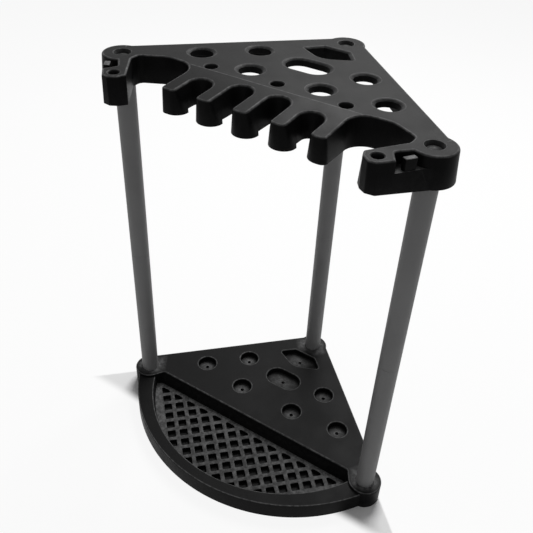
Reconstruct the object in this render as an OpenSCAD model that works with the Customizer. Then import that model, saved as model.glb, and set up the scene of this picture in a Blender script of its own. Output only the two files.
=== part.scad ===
// Freestanding corner rack for long-handled garden tools.
// A moulded base with a drip tray carries three poles, each of two push-fit
// tubes, and the poles carry a moulded top plate that spaces the handles.
// In plan the poles stand on a right-angled triangle whose right angle is the
// room's corner. +X is to the right, +Y goes into the corner and +Z is up.

/* [Overall] */
// Height from the floor to the top face of the plate
rack_h = 880; // [760:10:1000]
// Distance between the centres of the two front poles
pole_span = 622; // [606:2:660]

/* [Tubes] */
// Outside diameter of a tube
tube_d = 40; // [36:0.5:42]
// Wall of a tube
tube_wall = 1.2; // [0.8:0.1:2]
// Length of the necked upper end of a tube
neck_l = 38; // [24:1:40]
// Height of the lead-in taper at the neck's end
neck_lead = 3; // [1:0.5:6]
// Radial clearance of a tube in its socket or in the next tube
fit_gap = 0.2; // [0.1:0.05:0.4]

/* [Top plate] */
// Depth of the plate from its top face to the lower edge of its skirt
plate_d = 55; // [50:1:64]
// Wall of the moulded shells
skin = 3; // [2:0.25:3.5]
// Radius of the round boss over each pole
boss_r = 38; // [36:0.5:40]
// Distance of the wall-side edges outside the line of the poles
plate_wall_out = 32; // [26:0.5:34]
// Radius that blends a boss into its straight edges
boss_blend_r = 12; // [6:1:18]
// Distance behind the pole line at which the front of the plate starts to slope
crease_y = 30; // [27:1:33]
// Drop of the sloping front at the finger tips
crease_drop = 8; // [4:0.5:10]

/* [Fingers and slots] */
// Width of a finger
finger_w = 28; // [26:0.5:29]
// Distance between the centres of neighbouring fingers
finger_pitch = 74; // [72:0.5:75]
// Distance of the finger tips in front of the pole line
finger_reach = 70; // [62:1:78]
// Corner radius of a finger tip
finger_tip_r = 8; // [4:0.5:12]
// End of the two middle slots behind the pole line
slot_mid_y = 14.4; // [10:0.2:18]
// End of the two outer slots in front of the pole line
slot_side_y = 2.5; // [0:0.5:10]
// Height by which the slot walls stop short of the skirt's lower edge
slot_relief = 10; // [4:0.5:16]
// Depth of a finger's full-height nose
nose_d = 11; // [9:0.5:14]

/* [Bays and arms] */
// Back of the bays behind the pole line
bay_back_y = 33.5; // [32:0.5:36]
// Radius of a bay's corner beside the fingers
bay_r = 37; // [30:0.5:40]
// Radius of a bay's turn towards the arm
bay_turn_r = 45; // [20:1:50]
// Distance of an arm's hole from the pole beside it
arm_reach = 100; // [96:1:106]
// Direction of an arm, turned from the front towards the side
arm_angle = 32.3; // [30:0.1:35]
// Radius of the hole in an arm
arm_hole_r = 10; // [7:0.25:11]

/* [Handle holes] */
// Radius of a handle hole
handle_r = 22.2; // [19:0.1:23]
// Radius of the rounded rim of a handle hole
handle_rim_r = 29; // [27:0.5:30]
// Radius of a small hole
small_r = 12; // [9:0.25:13]
// Depth of the collar round a hole, from the top face
collar_d = 20; // [16:0.5:30]
// Half the distance between the end centres of the long hole
oval_half_l = 17.4; // [12:0.2:20]
// Radius of the ends of the long hole
oval_r = 26.5; // [22:0.25:27.5]

/* [Boss recesses and caps] */
// Radius of a boss recess at the top face
recess_r = 18.5; // [17:0.1:19]
// Depth of a boss recess
recess_d = 7; // [5:0.25:8]
// Radius of a cap's head
cap_r = 12.2; // [10:0.1:13]
// Crown of a cap's head
cap_h = 3; // [2:0.25:4.5]
// Radius of a cap's stem
stem_r = 6; // [4:0.1:7]
// Length of a cap's stem below its head
stem_l = 12; // [8:0.5:16]

/* [Clips] */
// Length of the pocket in an arm's outer face
pocket_l = 43; // [40:0.5:46]
// Depth of the pocket from the arm's outer face
pocket_in = 17; // [14:0.5:18]
// Depth of the pocket's floor below the top face
pocket_d = 21; // [17:0.5:24]
// Length of a clip along the arm
clip_l = 20; // [16:0.5:24]
// Width of a clip across the arm
clip_w = 12; // [8:0.5:13]
// Distance of a clip's top below the top face
clip_top = 6; // [4:0.5:10]
// Width of the groove along a clip's top
clip_groove = 4; // [2:0.25:6]

/* [Base] */
// Height of the base's deck above the floor
base_h = 50; // [46:1:60]
// Radius of the base's round corners
base_boss_r = 37; // [35:0.5:40]
// Distance of the base's wall-side edges outside the line of the poles
base_wall_out = 33; // [28:0.5:34]
// Thickness of the floor under a tube
socket_floor = 3; // [2:0.25:6]
// Depth of the round and long cups in the deck
cup_d = 15; // [10:0.5:24]
// Radius of a round cup
cup_r = 23; // [19:0.25:23.5]
// Width of the bevel round a cup
cup_bevel = 3; // [1:0.25:4]
// Radius of the drain hole in a cup's floor
drain_r = 4; // [2:0.25:5]

/* [Drip tray] */
// Distance of the tray's front edge in front of the pole line
tray_front = 207; // [190:1:230]
// Overhang of the tray's outer curve beyond a front pole, on the pole line
tray_out = 29; // [25:0.5:32]
// Width of the rim at the front
rim_w = 26; // [22:0.5:32]
// Distance of the rim's inner curve inside a front pole, on the pole line
rim_side = 22; // [20:0.5:26]
// Drop of the rim below the deck
rim_drop = 7; // [3:0.5:10]
// Slope of the rim's inner wall, as its run over its height
rim_draft_share = 0.16;
// Position of the deck's front edge behind the pole line
deck_y = 3; // [0:0.5:6]
// Run of the sloping wall between the deck and the tray's floor
deck_run = 12; // [6:0.5:16]
// Height of the waffle's top above the floor
grid_top = 18.5; // [14:0.5:24]
// Depth of the waffle's pockets
grid_d = 10; // [6:0.5:11.5]
// Distance between neighbouring pockets
grid_pitch = 28.5; // [26:0.25:32]
// Width of a bar between two pockets
grid_bar = 9.5; // [7:0.25:12]
// Plain border between the waffle and the tray's walls
grid_margin = 3; // [2:0.5:8]

/* [Hidden] */
$fn = 96;

// Overrun of every cut past the face that it opens
over = 1;
// Points closer together than this are one point
same_point = 0.01;
// Angle between the points of a rounded corner
arc_step = 7.5;
// Thickness of the stiffening ribs under both mouldings
rib_t = 2;
// Height at which the ribs stop above a moulding's lower edge
rib_rise = 4;
// Distance between the ribs under the deck
rib_pitch = 66;

half_span = pole_span / 2;
poles = [[-half_span, 0], [half_span, 0], [0, half_span]];
plate_z = rack_h - plate_d;
tube_r = tube_d / 2;
bore_r = tube_r - tube_wall;
neck_r = bore_r - fit_gap;
neck_bore_r = neck_r - tube_wall;
body_l = (plate_z - socket_floor) / 2;
joint_z = socket_floor + body_l;
plate_socket_r = neck_r + fit_gap;
base_socket_r = tube_r + fit_gap;

// Handle holes of one side, as shares of half the span
handle_shares = [[0.622, 0.291], [0.363, 0.5425], [0.235, 0.2466]];
handles = [for (p = handle_shares, s = [-1, 1]) [s * p.x, p.y] * half_span];
small_shares = [[-0.443, 0.1437], [0.443, 0.1437], [0, 0.164]];
smalls = [for (p = small_shares) p * half_span];
small_rim = 2.3;
rim_depth = 6;
arm_rim = 1.6;
oval_y_share = 0.5064;
oval_rim = 6.7;
// Corners of the five-sided hole and of its cup, as shares of half the span
penta_shares = [[0.193, 0.759], [0.0932, 0.884], [-0.0932, 0.884],
                [-0.193, 0.759], [0, 0.6463]];
penta_cup_shares = [[0.193, 0.772], [0.09, 0.868], [-0.09, 0.868],
                    [-0.193, 0.772], [0, 0.676]];
penta_r = 7;
penta_belly_r = 45;
penta_rim = 6;

// Arm outline in the arm's own frame, as shares of its reach: across, along
bay_end_shares = [[-0.303, -0.121], [-0.228, -0.286]];
arm_tip_shares = [[-0.212, -1.068], [-0.089, -1.262], [0.097, -1.145], [0.171, -0.832]];
bay_end_rs = [8, 15];
arm_tip_rs = [8, 12, 10, 5];
bay_turn_share = 0.74;
arm_face = arm_tip_shares[3].x * arm_reach;
arm_hole_share = [-0.023, -1];
pocket_start_share = -0.78;
pocket_r = 6;

finger_half = finger_w / 2;
slot_w = finger_pitch - finger_w;
fingers_x = 2 * finger_pitch + finger_half;
slope = crease_drop / (crease_y + finger_reach);

// Circle through the tray's front point and its reach on the pole line
tray_half = half_span + tray_out;
tray_r = (tray_front * tray_front + tray_half * tray_half) / (2 * tray_front);
rim_front = tray_front - rim_w;
rim_half = half_span - rim_side;
rim_r = (rim_front * rim_front + rim_half * rim_half) / (2 * rim_front);
rim_h = base_h - rim_drop;
rim_run = (rim_h - grid_top) * rim_draft_share;
grid_floor = grid_top - grid_d;
floor_t = 2.5;
// Phase of the waffle along both of its diagonals
grid_phase_share = 0.42;
cup_wall = 2.5;
cup_oval_r = 27.5;

// The box of the whole rack is centred on the origin in plan
rear_y = half_span + max(base_boss_r, boss_r);
mid_y = (rear_y - tray_front) / 2;

function unit(v) = v / norm(v);
function left_of(v) = [-v.y, v.x];
function turned(p, a) = [p.x * cos(a) - p.y * sin(a), p.x * sin(a) + p.y * cos(a)];

// Points of an arc about c, moved inwards by inset. side is 1 where the outline
// bulges and -1 where it is hollow, and the arc runs from angle a to a + sweep.
function arc(c, r, side, a, sweep, inset = 0) =
    let (n = max(1, ceil(abs(sweep) / arc_step)), rr = max(0, r - side * inset))
    [for (i = [0 : n]) c + rr * [cos(a + sweep * i / n), sin(a + sweep * i / n)]];

// Rounded corner at v of an outline that runs from p to v to q with its inside on the left
function corner(p, v, q, r, inset = 0) =
    let (d1 = unit(v - p), d2 = unit(q - v),
         n1 = left_of(d1), n2 = left_of(d2),
         turn = atan2(d1.x * d2.y - d1.y * d2.x, d1 * d2),
         side = turn < 0 ? -1 : 1,
         c = v + side * r * (n1 + n2) / (1 + n1 * n2),
         out = -side * n1)
    arc(c, r, side, atan2(out.y, out.x), turn, inset);

// Closed outline with a rounded corner at each point
function rounded(pts, rs, inset = 0) =
    let (n = len(pts))
    [for (i = [0 : n - 1])
        each corner(pts[(i + n - 1) % n], pts[i], pts[(i + 1) % n], rs[i], inset)];

// Boss between two straight edges: a hollow blend, the boss arc and a hollow blend.
// The edges have unit directions d1 and d2 and lie out1 and out2 outside the centre c.
function boss(c, r, blend, d1, out1, d2, out2, inset = 0) =
    let (a1 = acos((out1 + blend) / (r + blend)),
         a2 = acos((out2 + blend) / (r + blend)),
         h1 = atan2(-d1.x, d1.y),
         sweep = (atan2(d1.x * d2.y - d1.y * d2.x, d1 * d2) + 360) % 360,
         s1 = h1 - a1,
         s2 = h1 + sweep + a2)
    concat(
        arc(c + (r + blend) * [cos(s1), sin(s1)], blend, -1, h1 + 180, -a1, inset),
        arc(c, r, 1, s1, s2 - s1, inset),
        arc(c + (r + blend) * [cos(s2), sin(s2)], blend, -1, s2 + 180, -a2, inset));

// Place of a point of the right arm's own frame
function arm_pt(p) = [half_span, 0] + turned(p * arm_reach, -arm_angle);

// Front of the right half of the plate: fingers, slots, bay and arm
fingers_pts = [
    [finger_half, -finger_reach],
    [finger_half, slot_mid_y],
    [finger_pitch - finger_half, slot_mid_y],
    [finger_pitch - finger_half, -finger_reach],
    [finger_pitch + finger_half, -finger_reach],
    [finger_pitch + finger_half, -slot_side_y],
    [2 * finger_pitch - finger_half, -slot_side_y],
    [2 * finger_pitch - finger_half, -finger_reach],
    [fingers_x, -finger_reach]];
slot_r = slot_w / 2;
fingers_rs = [for (p = fingers_pts) p.y == -finger_reach ? finger_tip_r : slot_r];
bay_pts = concat(
    [[fingers_x, bay_back_y], [bay_turn_share * half_span, bay_back_y]],
    [for (p = bay_end_shares) arm_pt(p)]);
arm_pts = [for (p = arm_tip_shares) arm_pt(p)];
front_pts = concat(fingers_pts, bay_pts, arm_pts);
front_rs = concat(fingers_rs, [bay_r, bay_turn_r], bay_end_rs, arm_tip_rs);

arm_dir = turned([0, 1], -arm_angle);
wall_dir = [-sqrt(1 / 2), sqrt(1 / 2)];
last_front = len(front_pts) - 1;

// Right half of the plate's outline, from the middle finger round to the rear boss
function plate_half(inset) = concat(
    [for (i = [0 : last_front])
        each corner(i == 0 ? [-finger_half, -finger_reach] : front_pts[i - 1],
                    front_pts[i],
                    i == last_front ? front_pts[i] + arm_reach * arm_dir : front_pts[i + 1],
                    front_rs[i], inset)],
    boss([half_span, 0], boss_r, boss_blend_r, arm_dir, arm_face,
         wall_dir, plate_wall_out, inset));

function mirrored(pts) = [for (i = [len(pts) - 1 : -1 : 0]) [-pts[i].x, pts[i].y]];

// Outline without the points that end one arc and start the next
function merged(pts) = [for (i = [0 : len(pts) - 1])
    if (norm(pts[i] - pts[(i + 1) % len(pts)]) > same_point) pts[i]];

function plate_points(inset) = merged(concat(
    plate_half(inset),
    boss([0, half_span], boss_r, boss_blend_r, wall_dir, plate_wall_out,
         [wall_dir.x, -wall_dir.y], plate_wall_out, inset),
    mirrored(plate_half(inset))));

function penta_points(shares, inset) =
    rounded(shares * half_span, [penta_r, penta_r, penta_r, penta_r, penta_belly_r], inset);

// Everything is drawn about the pole line and moved to the middle of its box
module placed(z = 0) {
    translate([0, -mid_y, z]) children();
}

module at_each(places) {
    for (p = places) translate(p) children();
}

// Solid of revolution of one rim: a cone that narrows to a straight wall
module funnel(r_top, r, bevel_h, depth) {
    rotate_extrude()
        polygon([[0, 0], [r_top, 0], [r, -bevel_h], [r, -depth], [0, -depth]]);
}

// Cut of a rim that also clears what lies over and under it
module funnel_cut(r_top, r, bevel_h, depth) {
    rotate_extrude()
        polygon([[0, over], [r_top, over], [r_top, 0], [r, -bevel_h],
                 [r, -depth - over], [0, -depth - over]]);
}

// Upright funnel of a long hole: two round ends and the straight part between them
module long_funnel(half_l, r_top, r, bevel_h, depth, up) {
    profile = [[-r_top, up], [-r_top, 0], [-r, -bevel_h], [-r, -depth],
               [r, -depth], [r, -bevel_h], [r_top, 0], [r_top, up]];
    for (s = [-1, 1])
        translate([s * half_l, 0, 0])
            rotate_extrude()
                polygon([[0, up], [r_top, up], [r_top, 0], [r, -bevel_h],
                         [r, -depth], [0, -depth]]);
    translate([-half_l, 0, 0])
        rotate([90, 0, 90])
            linear_extrude(2 * half_l)
                polygon(profile);
}

// Solid between two outlines with equally many points
module loft(low, high, z_low, z_high) {
    n = len(low);
    polyhedron(
        points = concat([for (p = low) [p.x, p.y, z_low]], [for (p = high) [p.x, p.y, z_high]]),
        faces = concat(
            [[for (i = [0 : n - 1]) i]],
            [[for (i = [n - 1 : -1 : 0]) n + i]],
            [for (i = [0 : n - 1]) [i, n + i, n + (i + 1) % n, (i + 1) % n]]));
}

module penta(shares, inset, z, h) {
    translate([0, 0, z])
        linear_extrude(h)
            polygon(penta_points(shares, inset));
}

// Volume above the sloping front of the plate, lowered by down
module above_slope(down) {
    reach = crease_y + 2 * finger_reach;
    translate([-fingers_x - bay_r, 0, -down])
        rotate([90, 0, 90])
            linear_extrude(2 * (fingers_x + bay_r))
                polygon([[crease_y, 0], [crease_y, skin + plate_d],
                         [crease_y - reach, skin + plate_d], [crease_y - reach, -slope * reach]]);
}

// Frame of an arm: x points out of its outer face, y runs to the boss, z = 0 is the top face
module in_arm(side) {
    mirror([side < 0 ? 1 : 0, 0, 0])
        translate([half_span, 0, 0])
            rotate(-arm_angle)
                children();
}

pocket_y = pocket_start_share * arm_reach;
clip_y = pocket_y + (pocket_l + pocket_r) / 2;
clip_x = arm_face - pocket_in / 2;
clip_foot = clip_w - 2 * clip_groove / 2 - fit_gap;

// Pocket in plan: open towards the arm's outer face
module pocket_plan(grow, out) {
    back = arm_face - pocket_in - grow;
    polygon(concat(
        corner([arm_face, pocket_y - grow], [back, pocket_y - grow],
               [back, pocket_y + pocket_l], pocket_r + grow),
        corner([back, pocket_y], [back, pocket_y + pocket_l + grow],
               [arm_face, pocket_y + pocket_l + grow], pocket_r + grow),
        [[arm_face + out, pocket_y + pocket_l + grow], [arm_face + out, pocket_y - grow]]));
}

module clip_foot_plan(grow) {
    translate([clip_x, clip_y])
        square([clip_foot + 2 * grow, clip_l - clip_groove + 2 * grow], center = true);
}

module plate_collars() {
    at_each(handles) funnel(handle_rim_r + skin, handle_r + skin, rim_depth + skin, collar_d);
    at_each(smalls) funnel(small_r + small_rim + skin, small_r + skin, small_rim + skin, collar_d);
    translate([0, oval_y_share * half_span, 0])
        long_funnel(oval_half_l, oval_r + oval_rim + skin, oval_r + skin,
                    rim_depth + skin, collar_d, 0);
    penta(penta_shares, -skin, -rim_depth - skin, rim_depth + skin);
    penta(penta_shares, penta_rim - skin, -collar_d, collar_d);
    for (s = [-1, 1])
        in_arm(s)
            translate(arm_hole_share * arm_reach)
                funnel(arm_hole_r + arm_rim + skin, arm_hole_r + skin, arm_rim + skin, collar_d);
}

module plate_openings() {
    at_each(handles) funnel_cut(handle_rim_r, handle_r, rim_depth, plate_d);
    at_each(smalls) funnel_cut(small_r + small_rim, small_r, small_rim, plate_d);
    translate([0, oval_y_share * half_span, 0])
        long_funnel(oval_half_l, oval_r + oval_rim, oval_r, rim_depth, plate_d + over, over);
    penta(penta_shares, penta_rim, -plate_d - over, plate_d + 2 * over);
    loft(penta_points(penta_shares, penta_rim), penta_points(penta_shares, 0), -rim_depth, over / 4);
    for (s = [-1, 1])
        in_arm(s)
            translate(arm_hole_share * arm_reach)
                funnel_cut(arm_hole_r + arm_rim, arm_hole_r, arm_rim, plate_d);
}

module plate_shell() {
    difference() {
        translate([0, 0, -plate_d])
            linear_extrude(plate_d)
                polygon(plate_points(0));
        difference() {
            translate([0, 0, -plate_d - over])
                linear_extrude(plate_d + over - skin)
                    polygon(plate_points(skin));
            above_slope(skin);
        }
    }
}

module plate_pockets() {
    for (s = [-1, 1])
        in_arm(s)
            translate([0, 0, -pocket_d - skin])
                linear_extrude(pocket_d + skin)
                    pocket_plan(skin, 0);
}

module plate_pocket_cuts() {
    for (s = [-1, 1])
        in_arm(s) {
            translate([0, 0, -pocket_d])
                linear_extrude(pocket_d + over)
                    pocket_plan(0, boss_r);
            translate([0, 0, -plate_d])
                linear_extrude(plate_d)
                    clip_foot_plan(fit_gap);
        }
}

// Moulded top plate, with z = 0 at its top face
module top_plate_form() {
    difference() {
        union() {
            plate_shell();
            plate_collars();
            plate_pockets();
            at_each(poles)
                translate([0, 0, -plate_d])
                    cylinder(r = plate_socket_r + skin, h = plate_d);
        }
        above_slope(0);
        plate_openings();
        plate_pocket_cuts();
        translate([0, 0, -plate_d - over])
            linear_extrude(slot_relief + over)
                translate([-2 * finger_pitch, nose_d - finger_reach])
                    square([4 * finger_pitch, finger_reach - nose_d + crease_y]);
        at_each(poles) {
            translate([0, 0, -plate_d - over])
                cylinder(r = plate_socket_r, h = plate_d + over - recess_d - skin);
            funnel_cut(recess_r, cap_r + fit_gap, recess_d, recess_d);
            translate([0, 0, -plate_d])
                cylinder(r = stem_r + fit_gap, h = plate_d);
        }
    }
}

module top_plate() {
    color("#2e2f31") placed(rack_h) top_plate_form();
}

// Base in plan, inside the tray's outer curve and the two wall-side edges
module base_plan(inset) {
    reach = 2 * tray_r;
    out = (base_wall_out - inset) / sqrt(2);
    intersection() {
        translate([0, tray_r - tray_front]) circle(r = tray_r - inset, $fn = 2 * $fn);
        polygon([[out, half_span + out], [-out, half_span + out],
                 [-out - reach, half_span + out - reach], [out + reach, half_span + out - reach]]);
    }
    for (p = poles) translate(p) circle(r = base_boss_r - inset);
}

// Part of the base that stands at deck height
module deck_plan(inset) {
    reach = 2 * tray_r;
    intersection() {
        base_plan(inset);
        translate([-reach, deck_y + inset]) square([2 * reach, reach]);
    }
    for (p = poles) translate(p) circle(r = base_boss_r - inset);
}

// Inner curve of the rim, grown by grow
module rim_plan(grow) {
    translate([0, rim_r - rim_front]) circle(r = rim_r + grow, $fn = 2 * $fn);
}

// Floor of the tray, between the rim and the foot of the deck's wall
module tray_plan(inset) {
    reach = 2 * tray_r;
    difference() {
        intersection() {
            rim_plan(-rim_run - inset);
            translate([-reach, deck_y - deck_run - inset - reach]) square([2 * reach, reach]);
        }
        for (p = poles) translate(p) circle(r = base_boss_r + inset);
    }
}

// Hollow of the tray above the waffle
module tray_space() {
    reach = 2 * tray_r;
    difference() {
        translate([0, rim_r - rim_front, grid_top])
            cylinder(r1 = rim_r - rim_run, r2 = rim_r + over * rim_draft_share,
                     h = rim_h - grid_top + over, $fn = 2 * $fn);
        translate([-reach, 0, 0])
            rotate([90, 0, 90])
                linear_extrude(2 * reach)
                    polygon([[deck_y - deck_run, 0], [deck_y - deck_run, grid_top],
                             [deck_y, base_h], [reach, base_h], [reach, 0]]);
        at_each(poles) cylinder(r = base_boss_r, h = base_h);
    }
}

// Squares on a lattice that runs along both wall-side edges, one for each pocket
module grid_squares(side) {
    count = ceil(tray_r / grid_pitch);
    rotate(45)
        for (i = [-count : count], j = [-count : count])
            translate([i + grid_phase_share, j + grid_phase_share] * grid_pitch)
                if (pocket_inside(turned([i + grid_phase_share, j + grid_phase_share], 45)
                                  * grid_pitch))
                    square(side, center = true);
}

module grid_pockets() {
    intersection() {
        tray_plan(grid_margin);
        grid_squares(grid_pitch - grid_bar);
    }
}

// Spaces inside the waffle's bars, open to the floor
module grid_channels() {
    difference() {
        tray_plan(grid_margin + cup_wall);
        grid_squares(grid_pitch - grid_bar + 2 * cup_wall);
    }
}

// Whether enough of a pocket lies on the tray's floor to be worth its walls
function pocket_inside(p) =
    p.y < deck_y - deck_run - grid_margin - grid_bar / 2
    && norm(p - [0, rim_r - rim_front]) < rim_r - rim_run - grid_margin - grid_bar / 2
    && norm([abs(p.x), p.y] - [half_span, 0]) > base_boss_r + grid_margin + grid_bar / 2;

// Spaces under the deck, the rim and the tray, open to the floor
module base_hollows() {
    reach = 2 * tray_r;
    translate([0, 0, -over])
        linear_extrude(base_h - skin + over)
            intersection() {
                base_plan(skin);
                translate([-reach, deck_y + skin]) square([2 * reach, reach]);
            }
    translate([0, 0, -over])
        linear_extrude(rim_h - skin + over)
            difference() {
                base_plan(skin);
                rim_plan(skin);
                translate([-reach, deck_y + 2 * skin]) square([2 * reach, reach]);
            }
    translate([0, 0, -over])
        linear_extrude(grid_floor - floor_t + over)
            intersection() {
                base_plan(skin);
                rim_plan(0);
                translate([-reach, deck_y - reach]) square([2 * reach, reach]);
            }
    translate([0, 0, -over])
        linear_extrude(grid_top - floor_t + over)
            grid_channels();
}

module cup_forms(grow) {
    depth = cup_d + grow;
    translate([0, 0, base_h]) {
        at_each(handles) funnel(cup_r + cup_bevel + grow, cup_r + grow, cup_bevel + grow, depth);
        translate([0, oval_y_share * half_span, 0])
            long_funnel(oval_half_l, cup_oval_r + cup_bevel + grow, cup_oval_r + grow,
                        cup_bevel + grow, depth, 0);
        penta(penta_cup_shares, cup_bevel - grow, -depth, depth);
    }
}

module cup_cuts() {
    translate([0, 0, base_h]) {
        at_each(handles) funnel_cut(cup_r + cup_bevel, cup_r, cup_bevel, cup_d - over);
        translate([0, oval_y_share * half_span, 0])
            long_funnel(oval_half_l, cup_oval_r + cup_bevel, cup_oval_r, cup_bevel, cup_d, over);
        penta(penta_cup_shares, cup_bevel, -cup_d, cup_d + over);
        loft(penta_points(penta_cup_shares, cup_bevel), penta_points(penta_cup_shares, 0),
             -cup_bevel, over / 4);
        at_each(concat(handles, [[0, oval_y_share * half_span], [0, drain_y]]))
            translate([0, 0, -base_h])
                cylinder(r = drain_r, h = base_h);
    }
}
drain_y = 0.784 * half_span;

// Ribs under the deck, square to each other and to the wall-side edges
module deck_ribs() {
    reach = 2 * tray_r;
    count = floor(half_span / rib_pitch);
    translate([0, 0, rib_rise])
        linear_extrude(base_h - rib_rise - skin / 2)
            intersection() {
                base_plan(skin / 2);
                translate([-reach, deck_y + skin / 2]) square([2 * reach, reach]);
                for (a = [45, 135], i = [-count : count])
                    translate([0, half_span])
                        rotate(a)
                            translate([-reach, i * rib_pitch - rib_t / 2])
                                square([2 * reach, rib_t]);
            }
}

// Moulded base, with z = 0 on the floor
module base_form() {
    difference() {
        union() {
            difference() {
                union() {
                    linear_extrude(rim_h) base_plan(0);
                    linear_extrude(base_h) deck_plan(0);
                    translate([0, 0, grid_top]) deck_wall();
                }
                tray_space();
                base_hollows();
            }
            cup_forms(cup_wall);
            deck_ribs();
            at_each(poles) cylinder(r = base_socket_r + skin, h = base_h);
        }
        cup_cuts();
        translate([0, 0, grid_floor])
            linear_extrude(grid_d + over)
                grid_pockets();
        at_each(poles)
            translate([0, 0, socket_floor])
                cylinder(r = base_socket_r, h = base_h);
    }
}

// Sloping wall in front of the deck
module deck_wall() {
    w = rim_half - base_boss_r / 2;
    translate([-w, 0, 0])
        rotate([90, 0, 90])
            linear_extrude(2 * w)
                polygon([[deck_y - deck_run, 0], [deck_y, base_h - grid_top],
                         [deck_y + skin, base_h - grid_top], [deck_y + skin, 0]]);
}

module base_tray() {
    color("#2a2b2c") placed() base_form();
}

// One tube: an open lower end, a straight body and a necked upper end
module tube(z) {
    step = tube_wall + fit_gap;
    color("#6b6b6b")
        translate([0, 0, z])
            rotate_extrude()
                polygon([[bore_r, 0], [tube_r, 0], [tube_r, body_l], [neck_r, body_l],
                         [neck_r, body_l + neck_l - neck_lead],
                         [neck_r - step / 2, body_l + neck_l],
                         [neck_bore_r - step / 2, body_l + neck_l],
                         [neck_bore_r, body_l + neck_l - neck_lead],
                         [neck_bore_r, body_l - step], [bore_r, body_l - 2 * step]]);
}

module left_lower_tube() { placed() translate(poles[0]) tube(socket_floor); }
module right_lower_tube() { placed() translate(poles[1]) tube(socket_floor); }
module rear_lower_tube() { placed() translate(poles[2]) tube(socket_floor); }
module left_upper_tube() { placed() translate(poles[0]) tube(joint_z); }
module right_upper_tube() { placed() translate(poles[1]) tube(joint_z); }
module rear_upper_tube() { placed() translate(poles[2]) tube(joint_z); }

// Cap in a boss recess: a crowned head on a stem, with z = 0 under the head
module cap() {
    crown_r = (cap_r * cap_r + cap_h * cap_h) / (2 * cap_h);
    crown_steps = 8;
    crown_angle = asin(cap_r / crown_r);
    color("#353638")
        rotate_extrude()
            polygon(concat(
                [[0, -stem_l], [stem_r, -stem_l], [stem_r, 0]],
                [for (i = [0 : crown_steps])
                    let (a = crown_angle * (1 - i / crown_steps))
                    [crown_r * sin(a), cap_h - crown_r * (1 - cos(a))]]));
}

module cap_at(pole) {
    placed(rack_h - recess_d) translate(pole) cap();
}

module left_cap() { cap_at(poles[0]); }
module right_cap() { cap_at(poles[1]); }
module rear_cap() { cap_at(poles[2]); }

// Clip in an arm's pocket: a block on the pocket's floor, with a groove along its
// top, and a foot that snaps through the floor
module clip(side) {
    block_h = pocket_d - clip_top;
    color("#303133")
        placed(rack_h)
            in_arm(side) {
                difference() {
                    translate([clip_x - clip_w / 2, clip_y - clip_l / 2, -pocket_d])
                        cube([clip_w, clip_l, block_h]);
                    translate([clip_x - clip_w, clip_y - clip_groove / 2, -clip_top - clip_groove])
                        cube([clip_w, clip_groove, 2 * clip_groove]);
                }
                translate([0, 0, -pocket_d - 2 * skin])
                    linear_extrude(2 * skin)
                        clip_foot_plan(0);
            }
}

module left_clip() { clip(-1); }
module right_clip() { clip(1); }

base_tray();
top_plate();
left_lower_tube();
right_lower_tube();
rear_lower_tube();
left_upper_tube();
right_upper_tube();
rear_upper_tube();
left_cap();
right_cap();
rear_cap();
left_clip();
right_clip();
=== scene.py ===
import math

import bmesh
import bpy
import numpy as np
from mathutils import Matrix, Vector
from mathutils.geometry import delaunay_2d_cdt


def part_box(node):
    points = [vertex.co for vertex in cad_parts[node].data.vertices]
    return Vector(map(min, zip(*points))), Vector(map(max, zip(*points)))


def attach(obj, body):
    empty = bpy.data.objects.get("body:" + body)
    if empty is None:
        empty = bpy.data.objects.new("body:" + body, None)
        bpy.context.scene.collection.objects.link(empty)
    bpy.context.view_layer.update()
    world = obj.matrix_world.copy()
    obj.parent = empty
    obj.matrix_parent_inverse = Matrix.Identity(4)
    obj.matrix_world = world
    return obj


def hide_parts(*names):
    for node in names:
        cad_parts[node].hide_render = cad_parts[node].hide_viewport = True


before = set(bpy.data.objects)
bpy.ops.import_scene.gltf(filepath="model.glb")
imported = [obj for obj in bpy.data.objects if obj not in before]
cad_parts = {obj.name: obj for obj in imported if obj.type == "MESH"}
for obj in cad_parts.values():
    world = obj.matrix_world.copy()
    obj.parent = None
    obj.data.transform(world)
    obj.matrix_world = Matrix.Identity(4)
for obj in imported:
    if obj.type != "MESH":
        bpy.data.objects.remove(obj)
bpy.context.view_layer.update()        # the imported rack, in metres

scene = bpy.context.scene
mm = 0.001               # every shape below is worked out in millimetres


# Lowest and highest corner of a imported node, in millimetres
def boxOf(node):
    low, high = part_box(node)
    return np.array(low) / mm, np.array(high) / mm


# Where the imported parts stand. Plans are drawn about the line of the front poles.
plateLow, plateHigh = boxOf("top_plate")
tubeLow, tubeHigh = boxOf("right_lower_tube")
halfSpan = (tubeLow[0] + tubeHigh[0]) / 2
poleY = (tubeLow[1] + tubeHigh[1]) / 2
tubeR = (tubeHigh[0] - tubeLow[0]) / 2
topZ, deckZ = plateHigh[2], boxOf("base_tray")[1][2]
plateDepth = topZ - plateLow[2]
poles = dict(left=(-halfSpan, 0.0), right=(halfSpan, 0.0), rear=(0.0, halfSpan))
wallDir = np.array([-1.0, 1.0]) / math.sqrt(2)      # along the right-hand wall edge
backDir = np.array([-1.0, -1.0]) / math.sqrt(2)     # along the left-hand wall edge

# Both mouldings have their holes at the same places, as shares of half the span
holePlan = dict(handles=((0.622, 0.291), (0.363, 0.5425), (0.235, 0.2466)), long=0.5064)
handlePlaces = np.array([(side * x, y) for x, y in holePlan["handles"] for side in (-1, 1)]) * halfSpan
longPlace = np.array([0.0, holePlan["long"]]) * halfSpan
longHalf = 17.4          # half the straight length of both long holes
print("frame read, poles stand", round(2 * halfSpan), "mm apart")


# Outlines
arcSteps = dict(corner=8, boss=40, blendIn=12, blendOut=6, circle=64, longEnd=32)
edgeStep = 8.0           # about the length of a step on a straight stretch


# A direction at length 1
def unit(v):
    return v / np.linalg.norm(v)


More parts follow.
